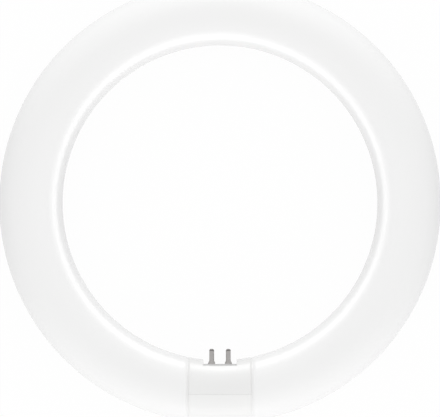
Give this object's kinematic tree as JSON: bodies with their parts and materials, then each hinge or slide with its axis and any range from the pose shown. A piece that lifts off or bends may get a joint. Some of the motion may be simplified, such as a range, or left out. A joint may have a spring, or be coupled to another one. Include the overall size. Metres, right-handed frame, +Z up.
{
  "type": "circular led tube",
  "caption": "Ring-shaped opal LED tube with a snap-together plastic cap whose contact pins point to the ring's centre.",
  "frame": {"origin": "on the ring's axis, at the level of the flat surface that the ring lies on", "axes": "+Z up along the ring's axis, -Y from the ring's centre towards the cap, +X to the right"},
  "size_m": [0.21, 0.21, 0.0302],
  "materials": {
    "opal_diffuser": "smooth opal white diffuser, unlit, with a soft broad sheen",
    "cap_plastic": "moulded white polycarbonate with a fine satin surface",
    "pin_metal": "nickel-plated brass, turned and slightly dull",
    "tinned_copper": "tinned copper strip",
    "circuit_board": "pale glass-fibre board with a solder mask",
    "component_black": "black moulding compound",
    "capacitor_sleeve": "dark shrink sleeve",
    "ferrite": "dark grey pressed ferrite",
    "copper_wire": "enamelled copper winding",
    "film_yellow": "yellow moulded box",
    "resistor_coat": "pale blue-grey lacquer",
    "varistor_blue": "blue dipped epoxy",
    "lead_black": "black insulated wire",
    "lead_red": "red insulated wire"
  },
  "bodies": {
    "root": {"opal_tube": "opal_diffuser", "cap_inner_half": "cap_plastic", "cap_outer_half": "cap_plastic", "contact_pin_rear_left": "pin_metal", "contact_pin_rear_right": "pin_metal", "contact_pin_front_left": "pin_metal", "contact_pin_front_right": "pin_metal", "pin_leads": "tinned_copper", "driver_board": "circuit_board", "bridge_rectifier": "component_black", "driver_chip": "component_black", "input_capacitor": "capacitor_sleeve", "output_capacitor": "capacitor_sleeve", "inductor_core": "ferrite", "inductor_winding": "copper_wire", "film_capacitor": "film_yellow", "fuse_resistor": "resistor_coat", "varistor": "varistor_blue", "lead_negative": "lead_black", "lead_positive": "lead_red"}
  },
  "joints": []
}
